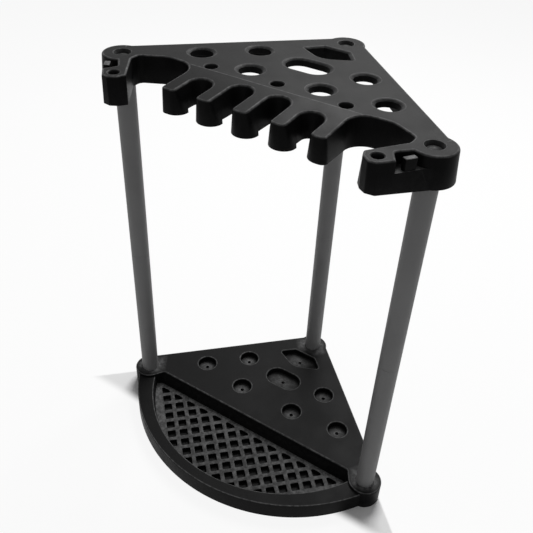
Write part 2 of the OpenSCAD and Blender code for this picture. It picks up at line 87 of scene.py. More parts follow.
# A point turned about the origin
def turned(p, degrees):
    a = math.radians(degrees)
    return np.array([p[0] * math.cos(a) - p[1] * math.sin(a), p[0] * math.sin(a) + p[1] * math.cos(a)])


# Cross product in the plan
def crossOf(a, b):
    return a[0] * b[1] - a[1] * b[0]


# Angle of a direction from +X, in degrees
def angleOf(d):
    return math.degrees(math.atan2(d[1], d[0]))


# Turn from one direction to the other, in degrees, positive to the left
def turnOf(d1, d2):
    return math.degrees(math.atan2(crossOf(d1, d2), d1 @ d2))


# Directions of length 1 at angles in degrees: their cosine and sine
def spokesAt(degrees):
    angles = np.radians(degrees)
    return np.column_stack([np.cos(angles), np.sin(angles)])


# One arc of an outline: centre plus radius times a spoke for each angle. side is 1
# where the outline bulges and -1 where it is hollow.
def arcRun(centre, radius, side, start, sweep, count):
    return dict(centre=np.array(centre, float), radius=radius, side=side,
                spokes=spokesAt(start + sweep * np.linspace(0, 1, count + 1)))


# A plain point on a straight edge, given as a hollow arc without radius
def markRun(place, out):
    return dict(centre=np.array(place, float), radius=0.0, side=-1, spokes=-np.array([out], float))


# Rounded corner: an arc that touches the edges to the points before and after it
def cornerRun(before, corner, after, radius, count=arcSteps["corner"]):
    before, corner, after = (np.array(p, float) for p in (before, corner, after))
    d1, d2 = unit(corner - before), unit(after - corner)
    n1, n2 = np.array([-d1[1], d1[0]]), np.array([-d2[1], d2[0]])
    turn = turnOf(d1, d2)
    side = -1 if turn < 0 else 1
    centre = corner + side * radius * (n1 + n2) / (1 + n1 @ n2)
    return arcRun(centre, radius, side, angleOf(-side * n1), turn, count)


# Closed outline with a rounded corner at each point
def polygonRuns(points, radii):
    count = len(points)
    return [cornerRun(points[i - 1], points[i], points[(i + 1) % count], radii[i], 10)
            for i in range(count)]


# Round boss between two straight edges that pass out1 and out2 from its centre:
# a hollow blend, the boss and a second hollow blend
def bossRuns(centre, radius, blends, d1, out1, d2, out2):
    a1, a2 = (math.degrees(math.acos((out + blend) / (radius + blend)))
              for out, blend in zip((out1, out2), blends))
    h1 = angleOf((d1[1], -d1[0]))
    s1, s2 = h1 - a1, h1 + turnOf(d1, d2) % 360 + a2
    ends = [centre + (radius + blend) * turned((1, 0), s) for s, blend in zip((s1, s2), blends)]
    return [arcRun(ends[0], blends[0], -1, h1 + 180, -a1, arcSteps["blendIn"]),
            arcRun(centre, radius, 1, s1, s2 - s1, arcSteps["boss"]),
            arcRun(ends[1], blends[1], -1, s2 + 180, -a2, arcSteps["blendOut"])]


# The same arcs on the other side, in the order that goes on round the plan
def mirrored(runs):
    flip = np.array([-1.0, 1.0])
    return [dict(run, centre=run["centre"] * flip, spokes=run["spokes"][::-1] * flip)
            for run in reversed(runs)]


# Circle as two half turns
def circleRuns(centre, radius, count=arcSteps["circle"]):
    return [arcRun(centre, radius, 1, a, 180, count // 2) for a in (0, 180)]


# Long hole: two half circles and the straight sides between them
def longRuns(radius):
    return [arcRun((longPlace[0] + side * longHalf, longPlace[1]), radius, 1, start, 180, arcSteps["longEnd"])
            for side, start in ((1, -90), (-1, 90))]


# Steps on each straight stretch after an arc, 0 where arcs touch
def gapsOf(runs):
    ends = np.array([run["centre"] + run["radius"] * run["spokes"][-1] for run in runs])
    starts = np.array([run["centre"] + run["radius"] * run["spokes"][0] for run in runs])
    length = np.linalg.norm(np.roll(starts, -1, axis=0) - ends, axis=1)
    return np.where(length < 0.01, 0, np.maximum(1, np.round(length / edgeStep))).astype(int)


# An arc at another radius. Past its centre it shrinks to the sharp corner where the
# two edges beside it meet.
def movedArc(run, radius):
    spokes = run["spokes"]
    if radius < 0:
        spokes = np.tile((spokes[0] + spokes[-1]) / (1 + spokes[0] @ spokes[-1]), (len(spokes), 1))
    return run["centre"] + radius * spokes


# Points of an outline moved inwards: each arc's radius changes by inset, and the
# straight stretches follow. Also gives where each arc starts.
def traced(runs, inset, gaps):
    arcs = [movedArc(run, run["radius"] - run["side"] * inset) for run in runs]
    points, starts, total = [], [], 0
    for arc, follower, gap in zip(arcs, arcs[1:] + arcs[:1], gaps):
        part = arc[:-1] if gap == 0 else np.vstack(
            [arc, arc[-1] + (follower[0] - arc[-1]) * (np.arange(1, gap) / gap)[:, None]])
        points.append(part)
        starts.append(total)
        total += len(part)
    return np.vstack(points), starts


# The same points without the places of the arcs
def outline(runs, inset=0.0, gaps=None):
    return traced(runs, inset, gapsOf(runs) if gaps is None else gaps)[0]


# Points of a plan lifted to one height or to a height each
def at(points, z):
    return np.column_stack([points, np.broadcast_to(z, len(points))])


# Quarter turn from level to upright, as steps of a profile: wide across and deep down
def roundOver(wide, deep, count=5):
    t = np.linspace(0, math.pi / 2, count + 1)
    return list(zip(wide * np.sin(t), deep * (1 - np.cos(t))))


# Rim of a hole, as steps of a profile: half way between a quarter turn and a straight bevel
def bevel(wide, deep):
    u = np.linspace(0, 1, 9)
    t = u * math.pi / 2
    return list(zip(wide * (0.5 * np.sin(t) + 0.5 * u), deep * (0.5 * (1 - np.cos(t)) + 0.5 * u)))


# Meshes

# An empty collection of points and faces
def newShell():
    return dict(points=[], faces=[], total=0)


# Adds points and gives the number of the first
def addPoints(shell, points):
    first = shell["total"]
    shell["points"].append(points)
    shell["total"] += len(points)
    return first


# Surface over a grid of rows and points, closed along each row if around is set
def addGrid(shell, grid, around=True):
    grid = np.array(grid)
    rows, count = grid.shape[:2]
    index = addPoints(shell, grid.reshape(-1, 3)) + np.arange(rows * count).reshape(rows, count)
    here, there = (index, np.roll(index, -1, axis=1)) if around else (index[:, :-1], index[:, 1:])
    faces = np.stack([here[:-1], there[:-1], there[1:], here[1:]], axis=-1)
    shell["faces"] += faces.reshape(-1, 4).tolist()


# Grid that is open along its rows, with a face over each end that joins its first rows
def addBeam(shell, grid, corners):
    first = shell["total"]
    addGrid(shell, grid, around=False)
    steps = grid.shape[1]
    for column in (0, steps - 1):
        shell["faces"].append([first + row * steps + column for row in range(corners)])


# Whether points lie inside closed loops: an odd number of edges is crossed to the right
def inside(points, loops):
    starts = np.vstack(loops)
    ends = np.vstack([np.roll(loop, -1, axis=0) for loop in loops])
    x, y = points[:, :1], points[:, 1:]
    spans = (starts[:, 1] > y) != (ends[:, 1] > y)
    rise = np.where(ends[:, 1] == starts[:, 1], 1.0, ends[:, 1] - starts[:, 1])
    cross = starts[:, 0] + (y - starts[:, 1]) * (ends[:, 0] - starts[:, 0]) / rise
    return (spans & (cross > x)).sum(axis=1) % 2 == 1


# Skin between closed loops, at the height that heightOf gives, with open lines as edges.
# Points nearer than same become one.
def addFill(shell, loops, heightOf, lines=(), same=1e-5):
    edges, first = [], 0
    for i, chain in enumerate([*loops, *lines]):
        index = first + np.arange(len(chain))
        pairs = np.column_stack([index, np.roll(index, -1)])
        edges.append(pairs if i < len(loops) else pairs[:-1])
        first += len(chain)
    corners = [Vector(p) for p in np.vstack([*loops, *lines])]
    found = delaunay_2d_cdt(corners, np.vstack(edges).tolist(), [], 0, same)
    points = np.array([tuple(p) for p in found[0]])
    faces = np.array(found[2])
    faces = faces[inside(points[faces].mean(axis=1), loops)]
    z = heightOf(points) if callable(heightOf) else heightOf
    shell["faces"] += (faces + addPoints(shell, at(points, z))).tolist()


# Wall of a hole or cup: its outline is moved inwards and down from a height by each step
# of a profile, or to the height that bent gives. Gives the loops at its two ends.
def addHole(shell, runs, profile, z, bent=None):
    gaps = gapsOf(runs)
    rows = []
    for inset, depth in profile:
        points = outline(runs, inset, gaps)
        rows.append(at(points, bent(points, depth) if bent else z - depth))
    addGrid(shell, rows)
    return rows[0][:, :2], rows[-1][:, :2]


# Points about upright axes: a row for each radius and height, at angles in radians
def aroundAxis(centre, radius, z, angles):
    x, y = centre[0] + radius * np.cos(angles), centre[1] + radius * np.sin(angles)
    return np.stack([x, y, np.broadcast_to(z, x.shape)], axis=-1)


# Turned surface: a ring for each radius and height of a closed profile
def addTurned(shell, centre, profile, count=96):
    profile = np.array(profile, float)
    grid = aroundAxis(centre, profile[:, :1], profile[:, 1:], np.arange(count) / count * 2 * math.pi)
    addGrid(shell, np.concatenate([grid, grid[:1]]))


# New object of the scene, which holds a mesh, a camera or a lamp
def newObject(name, data):
    made = bpy.data.objects.new(name, data)
    scene.collection.objects.link(made)
    return made


# One property of all of a mesh's items, as an array
def readAll(items, name, width=1, kind=float):
    values = np.empty(len(items) * width, kind)
    items.foreach_get(name, values)
    return values.reshape(-1, width) if width > 1 else values


# Wear and painted edge highlight at each point: how far its edges turn outwards, full from the given turn in
# degrees on
def wearAndHighlightOf(mesh, fullTurn=22):
    loopEdge = readAll(mesh.loops, "edge_index", kind=int)
    faceSize = readAll(mesh.polygons, "loop_total", kind=int)
    normal, middle = readAll(mesh.polygons, "normal", 3), readAll(mesh.polygons, "center", 3)
    loopFace = np.repeat(np.arange(len(faceSize)), faceSize)
    order = np.argsort(loopEdge, kind="stable")
    edgeOf, faceOf = loopEdge[order], loopFace[order]
    paired = np.flatnonzero(edgeOf[1:] == edgeOf[:-1])
    a, b = faceOf[paired], faceOf[paired + 1]
    turn = np.arccos(np.clip((normal[a] * normal[b]).sum(axis=1), -1, 1))
    outward = ((middle[b] - middle[a]) * normal[a]).sum(axis=1) < 0
    ends = readAll(mesh.edges, "vertices", 2, int)[edgeOf[paired]]
    wearAndHighlight = np.zeros(len(mesh.vertices))
    for column in (0, 1):
        np.maximum.at(wearAndHighlight, ends[:, column], np.where(outward, turn, 0.0))
    return np.clip(wearAndHighlight / math.radians(fullTurn), 0, 1)


# Points that lie this near to each other, in millimetres, are joined in a finished mesh
joinSizes = dict(weld=0.004, sliver=0.002)


# Makes a shell the finished piece for a imported node. Edges that turn by more than sharp
# degrees stay crisp, and the last argument gives added wear and painted highlight by place.
def makePiece(name, shell, node, material, sharp=38, extraWearAndHighlight=None):
    points = np.vstack(shell["points"]) + (0, poleY, 0)
    mesh = bpy.data.meshes.new(name)
    mesh.from_pydata(points * mm, [], shell["faces"])
    cleaner = bmesh.new()
    cleaner.from_mesh(mesh)
    bmesh.ops.remove_doubles(cleaner, verts=cleaner.verts, dist=joinSizes["weld"] * mm)
    bmesh.ops.dissolve_degenerate(cleaner, dist=joinSizes["sliver"] * mm, edges=cleaner.edges)
    bmesh.ops.recalc_face_normals(cleaner, faces=cleaner.faces)
    cleaner.to_mesh(mesh)
    cleaner.free()
    mesh.polygons.foreach_set("use_smooth", [True] * len(mesh.polygons))
    mesh.set_sharp_from_angle(angle=math.radians(sharp))
    values = wearAndHighlightOf(mesh)
    if extraWearAndHighlight is not None:
        values = np.maximum(values, extraWearAndHighlight(readAll(mesh.vertices, "co", 3) / mm - (0, poleY, 0)))
    # The stored edge mask gives rubbing and a painted edge highlight; the crease's painted highlight is added
    # to it
    wearAndHighlight = mesh.attributes.new("edgeWearAndHighlight", "FLOAT", "POINT")
    wearAndHighlight.data.foreach_set("value", values.astype(np.float32))
    mesh.materials.append(material)
    piece = newObject(name, mesh)
    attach(piece, "root")
    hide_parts(node)
    print(name, "made,", len(mesh.polygons), "faces")


# Finishes

# New node. Numbers and colours stay in its sockets, outputs of other nodes are linked.
def newNode(tree, kind, values=None, **settings):
    node = tree.nodes.new("ShaderNode" + kind)
    for key, value in settings.items():
        setattr(node, key, value)
    plug(node, values or {})
    return node


def plug(node, values):
    for key, value in values.items():
        if isinstance(value, (int, float)):
            node.inputs[key].default_value = value
        elif isinstance(value, tuple):
            node.inputs[key].default_value = (*value, 1.0)
        else:
            node.id_data.links.new(value, node.inputs[key])


# New group with number sockets: its tree, what comes into it and its last node
def groupOf(name, inputs, outputs):
    tree = bpy.data.node_groups.new(name, "ShaderNodeTree")
    for way, labels in (("INPUT", inputs), ("OUTPUT", outputs)):
        for label in labels:
            tree.interface.new_socket(label, in_out=way, socket_type="NodeSocketFloat")
    return tree, tree.nodes.new("NodeGroupInput").outputs, tree.nodes.new("NodeGroupOutput")


# Result of one sum, product or other operation, in the tree of its first value
def mathNode(kind, *values):
    return newNode(values[0].id_data, "Math", dict(enumerate(values)), operation=kind).outputs[0]


def product(a, b):
    return mathNode("MULTIPLY", a, b)


# Soft step: toLow below low, toHigh above high and an S curve between them
def rangeNode(value, low, high, toLow=0.0, toHigh=1.0):
    values = {"Value": value, "From Min": low, "From Max": high, "To Min": toLow, "To Max": toHigh}
    return newNode(value.id_data, "MapRange", values, interpolation_type="SMOOTHSTEP").outputs[0]


# Cloudy noise over a place
def noiseNode(where, scale, detail, rough=0.5):
    values = {"Vector": where, "Scale": scale, "Detail": detail, "Roughness": rough}
    return newNode(where.id_data, "TexNoise", values).outputs[0]


# First colour where amount is 0, second where it is 1
def colourMix(amount, first, second):
    values = {"Factor": amount, 6: first, 7: second}
    return newNode(amount.id_data, "Mix", values, data_type="RGBA").outputs[2]


# New material and its tree
def newMaterial(name):
    material = bpy.data.materials.new(name)
    material.use_nodes = True
    return material, material.node_tree


# Grain of a moulded or painted skin: two fine noises give the height and the
# sparkle, a slow one the cloudy change of gloss
grainSizes = dict(coarse=0.31, coarseShare=0.5, soft=(0.3, 0.7))


def grainGroup():
    s = grainSizes
    tree, entry, out = groupOf("surfaceGrain", ("Grain Scale", "Cloud Scale"), ("Height", "Fine", "Cloud"))
    where = newNode(tree, "TexCoord").outputs["Object"]
    fine = noiseNode(where, entry["Grain Scale"], 2.0, 0.6)
    coarse = noiseNode(where, product(entry["Grain Scale"], s["coarse"]), 1.0)
    cloud = noiseNode(where, entry["Cloud Scale"], 3.0, 0.55)
    plug(out, {"Height": mathNode("ADD", fine, product(coarse, s["coarseShare"])),
               "Fine": rangeNode(fine, *s["soft"]), "Cloud": rangeNode(cloud, *s["soft"])})
    return tree


# Dust and a painted sheen lie where the surface faces up, a lighter top standing in for light from above, and
# thin out in patches.
# Rubbing and a painted edge highlight follow the wear stored on the mesh, broken up by a noise, and fade
# where the surface doesn't face up.
agingAndPaintedLightSizes = dict(
    dustAndSheenUp=(0.55, 0.98), patches=(0.25, 0.75, 0.75, 1.0), finer=11.0, rubAndHighlightUp=(0.15, 0.8, 0.03, 1.0),
    broken=(0.35, 0.7, 0.35, 1.0))


def agingAndPaintedLightGroup():
    s = agingAndPaintedLightSizes
    tree, entry, out = groupOf("dustWearAndPaintedLight", ("Patch Scale",), ("Dust And Sheen", "Rubbed And Highlit"))
    place = newNode(tree, "TexCoord").outputs
    up = newNode(tree, "SeparateXYZ", {0: place["Normal"]}).outputs["Z"]
    patches = noiseNode(place["Object"], entry["Patch Scale"], 4.0, 0.6)
    wearAndHighlight = newNode(tree, "Attribute", attribute_name="edgeWearAndHighlight")
    broken = noiseNode(place["Object"], product(entry["Patch Scale"], s["finer"]), 3.0, 0.65)
    # Painted sheen: faces that point up take the lighter dust colour, as if lit from above
    dustyAndLit = rangeNode(up, *s["dustAndSheenUp"])
    # Painted highlight: the rubbed colour stays on edges that face up, where the light catches them
    rubbedAndHighlit = product(wearAndHighlight.outputs["Fac"], rangeNode(up, *s["rubAndHighlightUp"]))
    plug(out, {"Dust And Sheen": product(dustyAndLit, rangeNode(patches, *s["patches"])),
               "Rubbed And Highlit": product(rubbedAndHighlit, rangeNode(broken, *s["broken"]))})
    return tree


surfaceGrain, dustWearAndPaintedLight = grainGroup(), agingAndPaintedLightGroup()


# Satin skin: a dark and a light tone mixed by the clouds, then sparkle, dust with a painted sheen on
# up-facing faces and rubbed edges with a painted highlight over them. Roughness follows the clouds and falls
# where the skin is rubbed.
def satinMaterial(name, look):
    material, tree = newMaterial(name)
    grain = newNode(tree, "Group", node_tree=surfaceGrain)
    agingAndLight = newNode(tree, "Group", node_tree=dustWearAndPaintedLight)
    plug(grain, {"Grain Scale": look["grainScale"], "Cloud Scale": look["cloudScale"]})
    plug(agingAndLight, {"Patch Scale": look["patchScale"]})
    cloud, rubbedAndHighlit = grain.outputs["Cloud"], agingAndLight.outputs["Rubbed And Highlit"]
    tone = colourMix(cloud, look["dark"], look["light"])
    fine, dustAndSheen = grain.outputs["Fine"], agingAndLight.outputs["Dust And Sheen"]
    # Dust lightens up-facing faces as a painted sheen; the rub colour lightens upper edges as a painted
    # highlight
    for mask, share, colour in (
            (fine, "sparkle", "spark"), (dustAndSheen, "dustAndSheenShare", "dustAndSheen"), (rubbedAndHighlit, "rubAndHighlightShare", "rubAndHighlight")):
        tone = colourMix(product(mask, look[share]), tone, look[colour])
    rough = mathNode("MULTIPLY_ADD", cloud, look["roughSpread"], look["rough"])
    rough = mathNode("SUBTRACT", rough, product(rubbedAndHighlit, look["rubGloss"]))
    height = grain.outputs["Height"]
    bump = newNode(tree, "Bump", {"Strength": look["bump"], "Distance": look["grainDepth"], "Height": height})
    plug(tree.nodes["Principled BSDF"],
         {"Base Color": tone, "Normal": bump.outputs["Normal"], "Metallic": 0.0, "Roughness": rough,
          "Specular IOR Level": look["specular"]})
    return material


# Black plastic: the dust colour, ten times the plain tone, is mostly a painted sheen on up-facing faces, and
# the rub colour is a painted highlight on upper edges
blackLook = dict(
    dark=(0.0026, 0.0026, 0.0027), light=(0.0038, 0.0038, 0.0039), spark=(0.009, 0.009, 0.0092),
    sparkle=0.25, dustAndSheen=(0.030, 0.030, 0.030), dustAndSheenShare=0.35, rubAndHighlight=(0.20, 0.20, 0.201), rubAndHighlightShare=0.8,
    rough=0.36, roughSpread=0.10, rubGloss=0.08, bump=0.35, grainDepth=0.0004, grainScale=700.0,
    cloudScale=16.0, patchScale=9.0, specular=0.028)
# Grey paint: its dust colour on up-facing faces is partly a painted sheen, and its rub colour a painted edge
# highlight
greyLook = dict(
    dark=(0.158, 0.158, 0.159), light=(0.190, 0.190, 0.191), spark=(0.23, 0.23, 0.23), sparkle=0.3,
    dustAndSheen=(0.24, 0.24, 0.23), dustAndSheenShare=0.3, rubAndHighlight=(0.30, 0.30, 0.30), rubAndHighlightShare=0.5, rough=0.46,
    roughSpread=0.10, rubGloss=0.06, bump=0.25, grainDepth=0.0003, grainScale=1100.0, cloudScale=7.0,
    patchScale=5.0, specular=0.25)
capLook = dict(blackLook, grainScale=1300.0, rough=0.32, bump=0.2)
blackPlastic = satinMaterial("blackSatinPlastic", blackLook)
capPlastic = satinMaterial("smoothBlackPlastic", capLook)
greyPaint = satinMaterial("greySatinPaint", greyLook)
print("finishes made")


# Top plate. Pairs are the values at the top face and at the lower edge.
plateSizes = dict(
    bossR=(38.0, 42.0), wallOut=32.0, blend=12.0, skin=3.0, edge=3.6, lip=0.8, finger=(14.0, 24.5),
    fingersOut=(14.0, 17.5), pitch=74.0, reach=70.0, tipR=(8.0, 24.0), lastR=(8.0, 12.0),
    slotR=(23.0, 12.5), slotMid=-8.6, slotSide=-25.5, relief=7.0, reliefFrom=-42.0, reliefOut=157.0,
    reliefStep=0.4, bayBack=33.5, bayR=37.0, bayTurnR=45.0, bayTurn=0.74 * halfSpan, armAngle=32.3,
    armFlare=(-2.4, 11.0), armBlends=(35.0, 12.0), pocketDepth=21.0, pocketAngle=-87.0, pocketMouth=2.4,
    pocketBend=(-4.1, -69.8), pocketRadii=(1.2, 7.0, 2.5), crease=30.0, creaseSoft=1.3, creaseDrop=8.0,
    creaseHighlight=1.0, creaseEnd=1.5, creaseSteps=60, creasePast=6.0, slopeDepth=8.0, softer=0.6, margin=0.5)
fingersOut = 2 * plateSizes["pitch"] + plateSizes["fingersOut"][0]
# Corners in an arm's own frame and their radii: the bay's end, and the tip at top and bottom
bayEnd = (((-32.5, -11.5), 14.0), ((-21.5, -30.0), 15.0))
armTips = ((((-25.5, -109.5), 5.0), ((-12.5, -120.0), 5.0), ((6.0, -122.5), 5.0),
            ((16.5, -113.5), 6.0), ((21.0, -85.5), 5.0)),
           (((-26.0, -113.5), 4.0), ((-9.0, -120.5), 5.0), ((6.0, -120.5), 5.0),
            ((18.5, -110.5), 6.0), ((23.5, -84.5), 5.0)))
# Steps in each corner of the right half of the outline
plateSteps = (12, 10, 10, 12, 12, 10, 10, 12, 10, 14, 10) + 7 * (8,)
# Radius and depth down each boss: its recess, the hole for the cap's stem and the socket
bossSection = ((17.9, 0), (17.4, 0), (17.0, 0.15), (16.6, 0.6), (12.7, 6.6), (12.2, 7), (6.2, 7),
               (6.2, 10), (18.8, 10), (18.8, 54.2), (19.4, 55), (21.2, 55), (21.8, 54.2), (21.8, 3))
# Holes: radius at the top face, width and depth of the rim, and depth of the collar
holeSizes = dict(
    handle=(29.0, 6.8, 3.4, 15.0), long=(33.2, 6.7, 3.4, 15.0), penta=(0, 6.0, 3.4, 25.2),
    small=(14.3, 2.3, 2.0, 18.0), arm=(12.4, 2.4, 1.6, 18.0), armPlace=(-2.3, -100),
    smallPlaces=((-0.443, 0.1437), (0.443, 0.1437), (0, 0.164)),
    pentaPlaces=((0.193, 0.759), (0.0932, 0.884), (-0.0932, 0.884), (-0.193, 0.759), (0, 0.6463)),
    pentaR=(7, 7, 7, 7, 45))


# Place of a point of the right arm's own frame: x out of its outer face, y to the pole
def armPoint(x, y):
    return np.array([halfSpan, 0.0]) + turned((x, y), -plateSizes["armAngle"])


# The plate's outline as arcs, at its top face or, where low is 1, at its flared lower
# edge, with the clip's pocket or with the arm's face closed over it: the right half's
# corners, its boss and the rear one, and the right half mirrored
def plateRuns(low, pocket):
    s = plateSizes
    f, p, front, tip, end = s["finger"][low], s["pitch"], -s["reach"], s["tipR"][low], s["slotR"][low]
    out = 2 * p + s["fingersOut"][low]
    corners = []
    for i, back in enumerate((s["slotMid"] + end, s["slotSide"] + end)):     # the two slots
        left, right = i * p + f, (i + 1) * p - f
        corners += [((left, front), tip), ((left, back), end), ((right, back), end), ((right, front), tip)]
    corners += [((out, front), s["lastR"][low]), ((out, s["bayBack"]), s["bayR"]),
                ((s["bayTurn"], s["bayBack"]), s["bayTurnR"])]
    corners += [(armPoint(*place), radius) for place, radius in bayEnd + armTips[low]]
    faceDir = turned((0, 1), -s["armAngle"] - s["armFlare"][low])
    places = [np.array((-f, front))] + [np.array(place, float) for place, radius in corners]
    places.append(places[-1] + 100 * faceDir)     # any point further along the arm's face
    runs = []
    for i, (place, radius) in enumerate(corners):
        before, here, after = places[i:i + 3]
        runs.append(cornerRun(before, here, after, radius, plateSteps[i]))
        if abs(here[0] - after[0]) < 0.01 and abs(here[0]) < s["reliefOut"]:
            way = np.sign(after[1] - here[1])     # the wall of a slot, with the relief's step
            runs += [markRun((here[0], s["reliefFrom"] - s["reliefStep"] * way * k), (way, 0))
                     for k in (1, -1)]
    bossR, pole = s["bossR"][low], poles["right"]
    blend, wall, faceOut = s["blend"], s["wallOut"], crossOf(places[-2] - pole, faceDir)
    boss = bossRuns(pole, bossR, (s["armBlends"][low], blend), faceDir, faceOut, wallDir, wall)
    if pocket:
        turn = s["pocketAngle"] - s["armAngle"]
        end, onward = turned((bossR, 0), turn) + pole, turned((0, 1), turn)
        ends = [places[-2], places[-2] + s["pocketMouth"] * faceDir, armPoint(*s["pocketBend"]), end,
                end + 10 * onward]
        runs += [cornerRun(*ends[k:k + 3], radius, 5) for k, radius in enumerate(s["pocketRadii"])]
        turn += 6                                 # past the corner, along the boss to its own arc
        meet = angleOf(boss[1]["spokes"][0])
        boss = [arcRun(pole, bossR, 1, turn, meet - turn, 10)] + boss[1:]
    rear = bossRuns(poles["rear"], bossR, (blend, blend), wallDir, wall, backDir, wall)
    return runs + boss + rear + mirrored(runs + boss)


plateEdges = {key: plateRuns(*key) for key in ((0, 0), (0, 1), (1, 0), (1, 1))}
plateGaps = [gapsOf(plateEdges[0, pocket]) for pocket in (0, 1)]


# Outline of the plate at a depth: the top's outline slides evenly into the flared one
def plateLoop(inset, depth, pocket):
    upper = outline(plateEdges[0, pocket], inset, plateGaps[pocket])
    lower = outline(plateEdges[1, pocket], inset, plateGaps[pocket])
    return upper + (lower - upper) * depth / plateDepth


# How far the top sinks towards the finger tips: nothing behind the crease, a parabola
# over its soft width and a straight slope before it
def sink(points):
    s = plateSizes
    crease, soft = s["crease"], s["creaseSoft"]
    ahead = crease + soft - points[:, 1]
    bend = np.clip(ahead, 0, 2 * soft) ** 2 / (4 * soft)
    drop = s["creaseDrop"] / (crease + s["reach"]) * (bend + np.maximum(ahead - 2 * soft, 0))
    return np.where(np.abs(points[:, 0]) < fingersOut + s["bayR"] + s["creasePast"], drop, 0.0)


# Height at a depth under the top face, which the steps near the top follow as it slopes
def plateZ(points, depth):
    return topZ - depth - (sink(points) if depth < plateSizes["slopeDepth"] else 0)


# Depth of the skirt's lower edge: less along the slots' walls, behind the noses
def skirtDepth(points):
    s = plateSizes
    raised = (np.abs(points[:, 0]) < s["reliefOut"]) & (points[:, 1] > s["reliefFrom"])
    return plateDepth - np.where(raised, s["relief"], 0.0)


# The crease gets a painted highlight, stored as wear: a light line along its middle edge on the top face
def creaseHighlight(points):
    s = plateSizes
    along = (np.abs(points[:, 1] - s["crease"]) < 0.1) & (points[:, 2] > topZ - s["skin"] / 2)
    return np.where(along, s["creaseHighlight"], 0.0)


# Sides of the plate, as outlines at their insets and depths: the rounded edge and the wall,
# the skirt below the pockets, and the inner side. Gives the loops of the two faces.
def addPlateSides(shell):
    s = plateSizes
    skin, edge, lip, floor = s["skin"], s["edge"], s["lip"], s["pocketDepth"]
    steps = [(edge + s["margin"], 0)] + [(edge - across, down) for across, down in roundOver(edge, edge)]
    rows = []
    for inset, depth in steps + [(0, edge + s["margin"]), (0, floor)]:
        points = plateLoop(inset, depth, 1)
        rows.append(at(points, plateZ(points, depth)))
    addGrid(shell, rows)
    depth = skirtDepth(plateLoop(0, plateDepth, 0))
    skirt = [at(plateLoop(0, floor, 0), topZ - floor)]
    for inset, rise in ((0, lip), (0.3 * lip, 0.3 * lip), (lip, 0), (skin - lip, 0), (skin, lip)):
        skirt.append(at(plateLoop(inset, depth[:, None], 0), topZ - depth + rise))
    skirt.append(at(plateLoop(skin, floor + skin, 0), topZ - floor - skin))
    addGrid(shell, skirt)
    inner, ceiling = plateLoop(skin, floor + skin, 1), plateLoop(skin, skin, 1)
    addGrid(shell, [at(inner, topZ - floor - skin), at(ceiling, topZ - skin - sink(ceiling))])
    return rows[0][:, :2], ceiling


# Floors of the pockets, above and below, each between the two outlines from where they
# part, at the arm's last corner, to where they meet again on the boss
def addPocketFloors(shell):
    s = plateSizes
    starts = [traced(plateEdges[0, pocket], 0, plateGaps[pocket])[1] for pocket in (0, 1)]
    tipRun, tipSteps = 25, plateSteps[-1]         # the arc of the arm's last corner
    for inset in (0, s["skin"]):
        depth = s["pocketDepth"] + inset
        straight, recess = (
            plateLoop(inset, depth, pocket)[starts[pocket][tipRun] + tipSteps:starts[pocket][meet] + 1]
            for pocket, meet in ((0, tipRun + 2), (1, tipRun + 5)))
        loop = np.vstack([recess, straight[-2:0:-1]])
        for side in (1, -1):
            addFill(shell, [loop * (side, 1)], topZ - depth)


# All holes of the plate, each as its outline and its sizes
def plateHoles():
    s = holeSizes
    penta, smalls = (np.array(s[key]) * halfSpan for key in ("pentaPlaces", "smallPlaces"))
    holes = [(circleRuns(place, s["handle"][0]), s["handle"]) for place in handlePlaces]
    holes += [(longRuns(s["long"][0]), s["long"]), (polygonRuns(penta, s["pentaR"]), s["penta"])]
    holes += [(circleRuns(place, s["small"][0], 48), s["small"]) for place in smalls]
    return holes + [(circleRuns(armPoint(*s["armPlace"]) * (side, 1), s["arm"][0], 48), s["arm"])
                    for side in (-1, 1)]


# Plate: sides, pocket floors, holes with bevelled rims and collars, the bosses' insides,
# and the two faces filled in between all their loops
def buildPlate():
    s, shell = plateSizes, newShell()
    skin, soft = s["skin"], s["softer"]
    loops = [addPlateSides(shell)]
    addPocketFloors(shell)
    for runs, (radius, wide, deep, collar) in plateHoles():
        profile = [(-soft, 0)] + bevel(wide, deep) + [
            (wide, collar - soft), (wide - soft, collar), (wide - skin + soft, collar),
            (wide - skin, collar - soft), (wide - skin, deep + skin), (-0.7, skin)]
        loops.append(addHole(shell, runs, profile, topZ, plateZ))
    ringR = 20.0
    for pole in poles.values():
        section = [(ringR - radius, depth) for radius, depth in bossSection]
        loops.append(addHole(shell, circleRuns(pole, ringR), section, topZ))
    creases = []         # three edges across the top face, which end before the bays' rims
    for y in s["crease"] + s["creaseSoft"] * np.array([-1, 0, 1]):
        rise, rim = y - (s["bayBack"] - s["bayR"]), s["bayR"] + s["edge"] + s["margin"]
        half = fingersOut + s["bayR"] - math.sqrt(rim ** 2 - rise ** 2) - s["creaseEnd"]
        x = np.linspace(-half, half, s["creaseSteps"])
        creases.append(np.column_stack([x, np.full_like(x, y)]))
    addFill(shell, [top for top, under in loops], lambda points: topZ - sink(points), creases)
    addFill(shell, [under for top, under in loops], lambda points: topZ - skin - sink(points))
    # The crease's light line is a painted highlight
    makePiece("topPlate", shell, "top_plate", blackPlastic, extraWearAndHighlight=creaseHighlight)


buildPlate()


